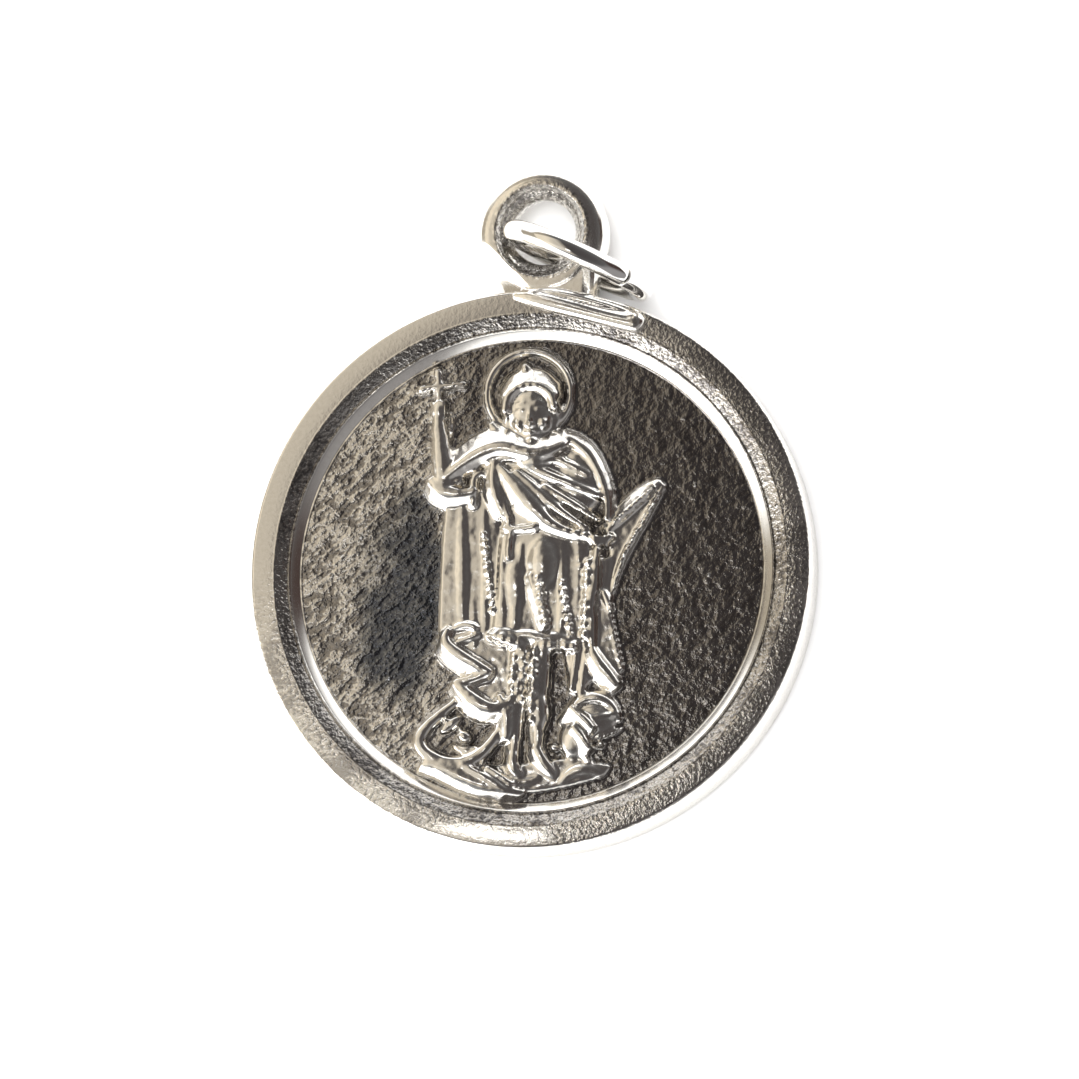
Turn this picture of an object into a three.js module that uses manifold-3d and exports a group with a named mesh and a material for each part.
// Religious medal pendant: a cast disc with a raised robed saint, its eye, and a split jump ring.
// Millimetres. It lies on its back: +Z leaves the face, +Y runs to the eye, the origin is mid back.

import * as THREE from 'three';
import { mergeVertices } from 'three/addons/utils/BufferGeometryUtils.js';
import Module from 'manifold-3d';

// Disc and rim
const discRadius = 10;
const discThickness = 2;
const edgeRound = 0.15;
const rimBand = 0.67;
const rimSlope = 0.43;
const rimSlopeDrop = 0.25;
const grooveWidth = 0.1;
const grooveDepth = 0.06;
const innerBevel = 0.35;
const fieldDepth = 0.6;

// Raised figure: its height from ground to halo, and how far it stands off the field
const figureHeight = 16;
const reliefRise = 0.62;
const reliefRoot = 0.25;
const haloRadius = 1.55;
const haloBand = 0.26;

// Eye, bent a little forward and twisted as the casting is
const eyeRadius = 2.3;
const eyeOpening = 1.6;
const eyeHole = 1.12;
const eyeBackOpening = 1.42;
const eyeThickness = 1.28;
const eyeRound = 0.2;
const eyeReach = 1.98;
const eyeShift = 0.1;
const holeRise = 0.14;
const eyeLean = 4;
const eyeTwist = 5;

// Neck and the bead where it meets the rim
const neckLeft = 1.6;
const neckRight = 1.95;
const neckRoot = 0.7;
const footLength = 4.6;
const footWidth = 0.62;
const footShift = 1.5;
const footSlope = -14;

// Jump ring, standing through the eye
const ringDiameter = 5.74;
const ringWire = 0.76;
const ringTurn = -23.5;
const splitAngle = 35;
const splitGap = 0.06;
const limbAngle = -50;
const passClearance = 0.24;
const threadShare = 0.65;
const threadAngle = 218;

// Fineness of the facets
const discSides = 84;
const eyeSides = 36;
const wireSides = 10;
const wireSteps = 48;
const formSides = 8;
const massSides = 12;

const silver = new THREE.MeshStandardMaterial({ color: 0xc9c4b8, roughness: 0.22, metalness: 1 });
const brightSilver = new THREE.MeshStandardMaterial({ color: 0xdad8d3, roughness: 0.12, metalness: 1 });

// Joining and cutting of closed meshes
const library = await Module();
library.setup();

function solid(geometry) {
  geometry.deleteAttribute('normal');
  geometry.deleteAttribute('uv');
  const merged = mergeVertices(geometry, 1e-5);
  const corners = merged.index.array;
  const kept = [];
  for (let i = 0; i < corners.length; i += 3) {
    const [a, b, c] = [corners[i], corners[i + 1], corners[i + 2]];
    if (a !== b && b !== c && c !== a) kept.push(a, b, c);
  }
  return new library.Manifold(new library.Mesh({
    numProp: 3,
    vertProperties: new Float32Array(merged.attributes.position.array),
    triVerts: new Uint32Array(kept),
  }));
}

function namedMesh(name, body, material) {
  const faces = body.getMesh();
  const geometry = new THREE.BufferGeometry();
  geometry.setAttribute('position', new THREE.BufferAttribute(faces.vertProperties, 3));
  geometry.setIndex(new THREE.BufferAttribute(faces.triVerts, 1));
  geometry.computeVertexNormals();
  const mesh = new THREE.Mesh(geometry, material);
  mesh.name = name;
  return mesh;
}

// A turned body from radius and height pairs, standing along +Z
function turned(pairs, sides) {
  const profile = pairs.map(([radius, height]) => new THREE.Vector2(radius, height));
  return new THREE.LatheGeometry(profile, sides).rotateX(Math.PI / 2);
}

const degrees = THREE.MathUtils.degToRad;
const fieldLevel = discThickness - fieldDepth;

// Disc: plain back, rounded edge, flat band, grooved slope and bevel down to the field
function discBody() {
  const bandEnd = discRadius - edgeRound - rimBand;
  const slopeEnd = bandEnd - rimSlope;
  const grooveEnd = slopeEnd - grooveWidth;
  const fieldRadius = grooveEnd - innerBevel;
  const slopeLevel = discThickness - rimSlopeDrop;
  const rounding = (level, from) => [30, 60].map((angle) => {
    const turn = degrees(from + angle);
    return [
      discRadius - edgeRound + edgeRound * Math.cos(turn),
      level + edgeRound * Math.sin(turn),
    ];
  });
  return solid(turned([
    [0, 0],
    [discRadius - edgeRound, 0],
    ...rounding(edgeRound, -90),
    [discRadius, edgeRound],
    [discRadius, discThickness - edgeRound],
    ...rounding(discThickness - edgeRound, 0),
    [discRadius - edgeRound, discThickness],
    [bandEnd, discThickness],
    [slopeEnd, slopeLevel],
    [slopeEnd - grooveWidth / 2, slopeLevel - grooveDepth],
    [grooveEnd, slopeLevel],
    [fieldRadius, fieldLevel],
    [0, fieldLevel],
  ], discSides));
}

// The figure's tables: places and half widths in 160ths of its height from the middle of the
// field, rise as a share of reliefRise
const figureStep = figureHeight / 160;

// Cloth and ground: flat panels with rounded edges
const panels = [
  {
    part: 'robe', rise: 0.62, points: [
      [-19, 42], [-10, 45], [0, 41], [11, 45], [16, 45], [22, 37], [26, 26], [27, 18], [24, 9], [21, 0],
      [20, -14], [21, -26], [16, -27], [6, -23], [-4, -24], [-13, -24], [-11, -10], [-10, 5], [-9, 14],
      [-11, 22], [-14, 32],
    ],
  },
  {
    part: 'cape', rise: 0.36, points: [
      [-33, 30], [-20, 30], [-12, 26], [-11, 0], [-12, -22], [-5, -28], [-4, -50], [-8, -55], [-15, -46],
      [-24, -41], [-26, -34], [-31, -25], [-33, 0], [-31, 15],
    ],
  },
  {
    part: 'cloak side', rise: 0.4, points: [
      [19, 4], [29, 4], [27, -10], [31, -20], [33, -31], [34, -39], [28, -42], [24, -36], [20, -42],
      [15, -42], [12, -30], [14, -20],
    ],
  },
  {
    part: 'ground', rise: 0.34, points: [
      [-39, -65], [-28, -64], [-15, -67], [-3, -68], [10, -66], [20, -66], [31, -68], [29, -75], [14, -79],
      [4, -82], [-6, -79], [-14, -76], [-27, -70],
    ],
  },
];

// Limbs, folds, cross, palm and hems: rounded strokes that taper from start to end
const strokes = [
  { part: 'upper arm', from: [-17, 41], to: [-31, 33], start: 4.2, end: 3.4, rise: 0.95 },
  { part: 'forearm', from: [-32, 33], to: [-35, 54], start: 3.4, end: 2.3, rise: 0.9 },
  { part: 'cross post', from: [-35, 59], to: [-35, 72], start: 1.4, end: 1.6, rise: 0.7 },
  { part: 'cross bar', from: [-43, 64], to: [-26, 66], start: 1.5, end: 1.5, rise: 0.7 },
  { part: 'sleeve edge', from: [-35, 31], to: [-22, 27], start: 2.4, end: 2, rise: 0.75 },
  { part: 'sleeve fold', from: [-21, 35], to: [-14, 35], start: 1.6, end: 1.4, rise: 0.8 },
  { part: 'neck', from: [-2, 46], to: [-2, 42], start: 5, end: 6, rise: 0.7 },
  { part: 'collar left', from: [-21, 42], to: [-10, 45], start: 2.2, end: 2.4, rise: 0.9 },
  { part: 'collar middle', from: [-10, 45], to: [0, 41], start: 2.4, end: 2.6, rise: 0.98 },
  { part: 'collar right', from: [0, 41], to: [11, 45], start: 2.6, end: 2, rise: 0.95 },
  { part: 'shoulder', from: [8, 46], to: [17, 44], start: 2.2, end: 3, rise: 0.85 },
  { part: 'cloak arm', from: [17, 43], to: [24, 33], start: 3, end: 3, rise: 0.85 },
  { part: 'cloak elbow', from: [24, 33], to: [26, 19], start: 3, end: 2.4, rise: 0.8 },
  { part: 'sash top', from: [-12, 36], to: [-2, 25], start: 2, end: 2.4, rise: 0.95 },
  { part: 'sash middle', from: [-2, 25], to: [8, 15], start: 2.4, end: 2.2, rise: 1 },
  { part: 'sash end', from: [8, 15], to: [22, 12], start: 2.2, end: 1.8, rise: 0.9 },
  { part: 'chest fold', from: [-5, 37], to: [4, 34], start: 1.5, end: 1.7, rise: 0.88 },
  { part: 'chest fold end', from: [4, 34], to: [24, 27], start: 1.7, end: 1.3, rise: 0.86 },
  { part: 'arm fold', from: [6, 28], to: [23, 18], start: 1.6, end: 1.3, rise: 0.88 },
  { part: 'robe edge', from: [-14, 38], to: [-14, 29], start: 1.3, end: 1.3, rise: 0.75 },
  { part: 'robe edge low', from: [-14, 29], to: [-10, 20], start: 1.3, end: 1.2, rise: 0.72 },
  { part: 'belt', from: [-9, 15], to: [2, 15], start: 1.5, end: 1.5, rise: 0.85 },
  { part: 'palm blade', from: [27, 14], to: [44, 31], start: 1.3, end: 1.7, rise: 0.55 },
  { part: 'palm rib', from: [43, 24], to: [36, 12], start: 0.9, end: 1.2, rise: 0.45 },
  { part: 'palm stem', from: [36, 12], to: [29, -5], start: 1.2, end: 1, rise: 0.45 },
  { part: 'cape ridge outer', from: [-31, 26], to: [-32, -22], start: 1.3, end: 1.5, rise: 0.6 },
  { part: 'cape ridge middle', from: [-26, 24], to: [-26, -19], start: 1.4, end: 1.6, rise: 0.62 },
  { part: 'cape ridge inner', from: [-18, 24], to: [-16, -20], start: 1.5, end: 1.6, rise: 0.66 },
  { part: 'cape hem one', from: [-30, -25], to: [-14, -36], start: 2, end: 2, rise: 0.85 },
  { part: 'cape hem two', from: [-14, -36], to: [-24, -40], start: 2, end: 1.7, rise: 0.8 },
  { part: 'cape hem three', from: [-24, -40], to: [-6, -51], start: 1.7, end: 1.8, rise: 0.8 },
  { part: 'skirt fold one', from: [-10, 10], to: [-9, -20], start: 1.3, end: 1.5, rise: 0.85 },
  { part: 'skirt fold two', from: [-4, 4], to: [-5, -19], start: 1.3, end: 1.4, rise: 0.84 },
  { part: 'skirt fold three', from: [3, -4], to: [5, -20], start: 1.6, end: 1.5, rise: 0.88 },
  { part: 'skirt fold four', from: [10, 6], to: [11, -22], start: 1.5, end: 1.5, rise: 0.84 },
  { part: 'skirt fold five', from: [17, 8], to: [17, -24], start: 1.4, end: 1.4, rise: 0.8 },
  { part: 'skirt hem', from: [-12, -23], to: [5, -23], start: 1.4, end: 1.5, rise: 0.9 },
  { part: 'skirt hem end', from: [5, -23], to: [17, -26], start: 1.5, end: 1.3, rise: 0.85 },
  { part: 'cloak fold one', from: [22, -3], to: [21, -17], start: 1.4, end: 1.5, rise: 0.75 },
  { part: 'cloak fold two', from: [21, -17], to: [23, -30], start: 1.5, end: 1.7, rise: 0.8 },
  { part: 'cloak hem', from: [23, -30], to: [33, -40], start: 1.9, end: 1.6, rise: 0.85 },
  { part: 'cloak edge', from: [27, -9], to: [34, -38], start: 1.1, end: 1.2, rise: 0.6 },
  { part: 'cloak fold low', from: [16, -30], to: [16, -41], start: 1.2, end: 1.2, rise: 0.65 },
  { part: 'left thigh', from: [-2, -24], to: [-2, -38], start: 3, end: 2.6, rise: 0.8 },
  { part: 'left shin', from: [-2, -38], to: [-4, -64], start: 2.4, end: 1.9, rise: 0.8 },
  { part: 'left foot', from: [-5, -67], to: [-1, -71], start: 2.2, end: 2, rise: 0.85 },
  { part: 'right thigh', from: [6, -24], to: [6, -38], start: 3, end: 2.6, rise: 0.8 },
  { part: 'right shin', from: [6, -38], to: [4, -62], start: 2.4, end: 1.9, rise: 0.8 },
  { part: 'right foot', from: [6, -64], to: [11, -71], start: 2, end: 2.2, rise: 0.85 },
  { part: 'helmet drape', from: [13, -52], to: [19, -65], start: 3, end: 2.4, rise: 0.75 },
  { part: 'helmet brim', from: [18, -51], to: [34, -51], start: 1.3, end: 1.2, rise: 0.85 },
  { part: 'helmet side', from: [25, -56], to: [23, -63], start: 2.6, end: 2, rise: 0.6 },
  { part: 'bird wing', from: [-38, -60], to: [-28, -68], start: 1.6, end: 1.8, rise: 0.75 },
  { part: 'bird back', from: [-38, -60], to: [-30, -53], start: 1.6, end: 1.4, rise: 0.75 },
  { part: 'bird breast', from: [-22, -57], to: [-24, -64], start: 1.6, end: 1.8, rise: 0.8 },
  { part: 'bird tail', from: [-24, -65], to: [-13, -68], start: 1.8, end: 1.4, rise: 0.7 },
  { part: 'ground ridge', from: [-38, -66], to: [-14, -76], start: 1.4, end: 1.6, rise: 0.7 },
  { part: 'ground ridge end', from: [-14, -76], to: [3, -82], start: 1.6, end: 1.3, rise: 0.6 },
  { part: 'ground crest', from: [-19, -69], to: [-5, -78], start: 1.2, end: 1.2, rise: 0.65 },
  { part: 'ground stone', from: [15, -73], to: [28, -70], start: 2.4, end: 1.8, rise: 0.65 },
];

// Rounded masses: head, hair, hands, knee, helmet and bird
const masses = [
  { part: 'head', at: [-2, 57], half: [8.2, 11.6], turn: 4, rise: 1.15 },
  { part: 'hair', at: [-2, 65], half: [9.2, 6], turn: 0, rise: 1.05 },
  { part: 'hair tuft', at: [-3, 72], half: [3, 2.6], turn: 0, rise: 0.8 },
  { part: 'hair left', at: [-9, 59], half: [2.6, 5.6], turn: 8, rise: 0.85 },
  { part: 'hair right', at: [6, 59], half: [2.4, 5.6], turn: -8, rise: 0.85 },
  { part: 'brow', at: [-2, 58.5], half: [5.8, 1.4], turn: 4, rise: 1.24 },
  { part: 'nose', at: [-2, 54.6], half: [1.3, 3], turn: 4, rise: 1.36 },
  { part: 'mouth', at: [-2, 49.6], half: [2.8, 1], turn: 4, rise: 1.16 },
  { part: 'chin', at: [-2, 47], half: [3.2, 2], turn: 4, rise: 1.1 },
  { part: 'chest', at: [2, 36], half: [16, 10], turn: -6, rise: 0.82 },
  { part: 'raised hand', at: [-35, 57], half: [3, 3.4], turn: 0, rise: 0.95 },
  { part: 'hip hand', at: [24, 11], half: [3.8, 2.4], turn: -20, rise: 0.95 },
  { part: 'knee', at: [4, 4], half: [5, 9], turn: 6, rise: 1 },
  { part: 'helmet dome', at: [27, -49], half: [8, 6], turn: -6, rise: 0.85 },
  { part: 'bird body', at: [-29, -61], half: [6, 5], turn: -30, rise: 0.5 },
  { part: 'bird head', at: [-20, -58], half: [2.4, 2], turn: 10, rise: 0.8 },
];

function panelBody({ rise, points }) {
  const outline = new THREE.Shape(points.map(([x, y]) => {
    return new THREE.Vector2(x * figureStep, y * figureStep);
  }));
  const round = rise * reliefRise * 0.6;
  const geometry = new THREE.ExtrudeGeometry(outline, {
    depth: reliefRoot + rise * reliefRise - round,
    bevelEnabled: true,
    bevelThickness: round,
    bevelSize: round,
    bevelOffset: -round,
    bevelSegments: 2,
  });
  geometry.translate(0, 0, fieldLevel - reliefRoot);
  return solid(geometry);
}

function strokeBody({ from, to, start, end, rise }) {
  const foot = new THREE.Vector2(...from).multiplyScalar(figureStep);
  const run = new THREE.Vector2(...to).multiplyScalar(figureStep).sub(foot);
  const length = run.length();
  const [startRadius, endRadius] = [start * figureStep, end * figureStep];
  const pairs = [-90, -45, 0].map((angle) => {
    return [startRadius * Math.cos(degrees(angle)), startRadius * Math.sin(degrees(angle))];
  });
  for (const angle of [0, 45, 90]) {
    pairs.push([endRadius * Math.cos(degrees(angle)), length + endRadius * Math.sin(degrees(angle))]);
  }
  pairs[0][0] = 0;
  pairs[pairs.length - 1][0] = 0;
  const geometry = turned(pairs, formSides);
  geometry.rotateX(-Math.PI / 2);
  geometry.scale(1, 1, (rise * reliefRise) / Math.max(startRadius, endRadius));
  geometry.rotateZ(run.angle() - Math.PI / 2);
  geometry.translate(foot.x, foot.y, fieldLevel);
  return solid(geometry);
}

function massBody({ at, half, turn, rise }) {
  const geometry = new THREE.SphereGeometry(1, massSides, massSides - 4);
  geometry.rotateX(Math.PI / 2);
  geometry.scale(half[0] * figureStep, half[1] * figureStep, rise * reliefRise);
  geometry.rotateZ(degrees(turn));
  geometry.translate(at[0] * figureStep, at[1] * figureStep, fieldLevel);
  return solid(geometry);
}

function haloBody() {
  const geometry = new THREE.TorusGeometry(haloRadius, haloBand / 2, 6, 36);
  geometry.scale(1, 1, (reliefRise * 0.5) / (haloBand / 2));
  geometry.translate(-3 * figureStep, 62 * figureStep, fieldLevel);
  return solid(geometry);
}

// The eye's own frame: its origin mid hole, +Z out of its front, leaned and twisted on the disc
const eyeTilt = new THREE.Euler(degrees(eyeLean), -degrees(eyeTwist), 0, 'YXZ');
const eyeNormal = new THREE.Vector3(0, 0, 1).applyEuler(eyeTilt);
const eyeMiddle = new THREE.Vector2(eyeShift, discRadius + eyeReach);

// The eye's limb inside the ring clears the wire that runs beneath it
const limbRadius = (eyeHole + eyeRadius) / 2;
const limbOffset = towards(limbAngle, limbRadius);
const limbLevel = ringWire + passClearance + eyeThickness / 2 / eyeNormal.z;
const eyeLevel = limbLevel + eyeFall(limbOffset);
const eyeCentre = new THREE.Vector3(eyeMiddle.x, eyeMiddle.y, eyeLevel);

function towards(angle, length) {
  return new THREE.Vector2(Math.cos(degrees(angle)), Math.sin(degrees(angle))).multiplyScalar(length);
}

// How far the eye's middle plane drops from its centre to a point beside it, seen from above
function eyeFall(offset) {
  return (offset.x * eyeNormal.x + offset.y * eyeNormal.y) / eyeNormal.z;
}

function placedOnEye(geometry) {
  const place = new THREE.Matrix4().makeRotationFromEuler(eyeTilt).setPosition(eyeCentre);
  return solid(geometry.applyMatrix4(place));
}

// Eye and neck as one plate with rounded edges, its hole tapering from the front
function eyeBody() {
  const half = eyeThickness / 2;
  const corner = [30, 60].map((angle) => {
    const turn = degrees(angle);
    return [eyeRadius - eyeRound + eyeRound * Math.cos(turn), half - eyeRound + eyeRound * Math.sin(turn)];
  });
  const plate = placedOnEye(turned([
    [0, -half],
    [eyeRadius - eyeRound, -half],
    ...corner.map(([radius, height]) => [radius, -height]).reverse(),
    [eyeRadius, eyeRound - half],
    [eyeRadius, half - eyeRound],
    ...corner,
    [eyeRadius - eyeRound, half],
    [0, half],
  ], eyeSides));
  const outline = new THREE.Shape([
    new THREE.Vector2(-eyeRadius * 0.97, 0),
    new THREE.Vector2(-neckLeft, -eyeReach),
    new THREE.Vector2(-neckLeft, -eyeReach - neckRoot),
    new THREE.Vector2(neckRight, -eyeReach - neckRoot),
    new THREE.Vector2(neckRight, -eyeReach),
    new THREE.Vector2(neckRight * 0.9, -eyeReach * 0.55),
    new THREE.Vector2(eyeRadius * 0.97, 0),
  ]);
  const neckRound = eyeRound * 0.8;
  const neck = new THREE.ExtrudeGeometry(outline, {
    depth: eyeThickness - 2 * neckRound,
    bevelEnabled: true,
    bevelThickness: neckRound,
    bevelSize: neckRound,
    bevelOffset: -neckRound,
    bevelSegments: 2,
  });
  neck.translate(0, 0, neckRound - half);
  const cut = half * 1.2;
  const hole = turned([
    [0, -cut],
    [eyeBackOpening * 1.03, -cut],
    [eyeBackOpening, -half],
    [eyeHole, -half * 0.5],
    [eyeHole * 1.03, 0],
    [eyeOpening * 0.9, half * 0.6],
    [eyeOpening, half],
    [eyeOpening * 1.03, cut],
    [0, cut],
  ], eyeSides);
  hole.translate(0, holeRise, 0);
  return plate.add(placedOnEye(neck)).subtract(placedOnEye(hole));
}

// The bead across the neck's foot, lying on the rim
function footBody() {
  const radius = footWidth / 2;
  const geometry = turned([
    [0, -footLength / 2],
    [radius * 0.7, radius * 0.3 - footLength / 2],
    [radius, radius - footLength / 2],
    [radius, footLength / 2 - radius],
    [radius * 0.7, footLength / 2 - radius * 0.3],
    [0, footLength / 2],
  ], formSides);
  geometry.rotateY(Math.PI / 2);
  geometry.rotateZ(degrees(footSlope));
  geometry.translate(footShift, discRadius - edgeRound - rimBand * 0.9, discThickness);
  return solid(geometry);
}

function medalBody() {
  const forms = [
    ...panels.map(panelBody),
    ...strokes.map(strokeBody),
    ...masses.map(massBody),
    haloBody(),
    eyeBody(),
    footBody(),
  ];
  return forms.reduce((whole, form) => whole.add(form), discBody());
}

// The ring stands on its edge, and its wire goes through the eye's hole beside the limb
const ringRadius = (ringDiameter - ringWire) / 2;

class RingLine extends THREE.Curve {
  getPoint(share, target = new THREE.Vector3()) {
    const halfGap = splitGap / 2 / ringRadius;
    const angle = degrees(splitAngle) + halfGap + share * (2 * Math.PI - 2 * halfGap);
    return target.set(ringRadius * Math.cos(angle), 0, ringRadius * Math.sin(angle));
  }
}

function ringBody() {
  const section = new THREE.Shape();
  section.absarc(0, 0, ringWire / 2, 0, 2 * Math.PI);
  const geometry = new THREE.ExtrudeGeometry(section, {
    steps: wireSteps,
    curveSegments: wireSides / 2,
    extrudePath: new RingLine(),
  });
  const spareRoom = (eyeHole + eyeOpening) / 2 - ringWire / 2;
  const thread = towards(threadAngle, threadShare * spareRoom);
  thread.y += holeRise * eyeNormal.z;
  const threadLevel = eyeLevel - eyeFall(thread);
  const rise = ringDiameter / 2 - threadLevel;
  const centre = towards(ringTurn, Math.sqrt(ringRadius ** 2 - rise ** 2)).add(thread).add(eyeMiddle);
  geometry.rotateZ(degrees(ringTurn));
  geometry.translate(centre.x, centre.y, ringDiameter / 2);
  return solid(geometry);
}

const pendant = new THREE.Group();
pendant.add(namedMesh('medal', medalBody(), silver));
pendant.add(namedMesh('jump_ring', ringBody(), brightSilver));

export default pendant;
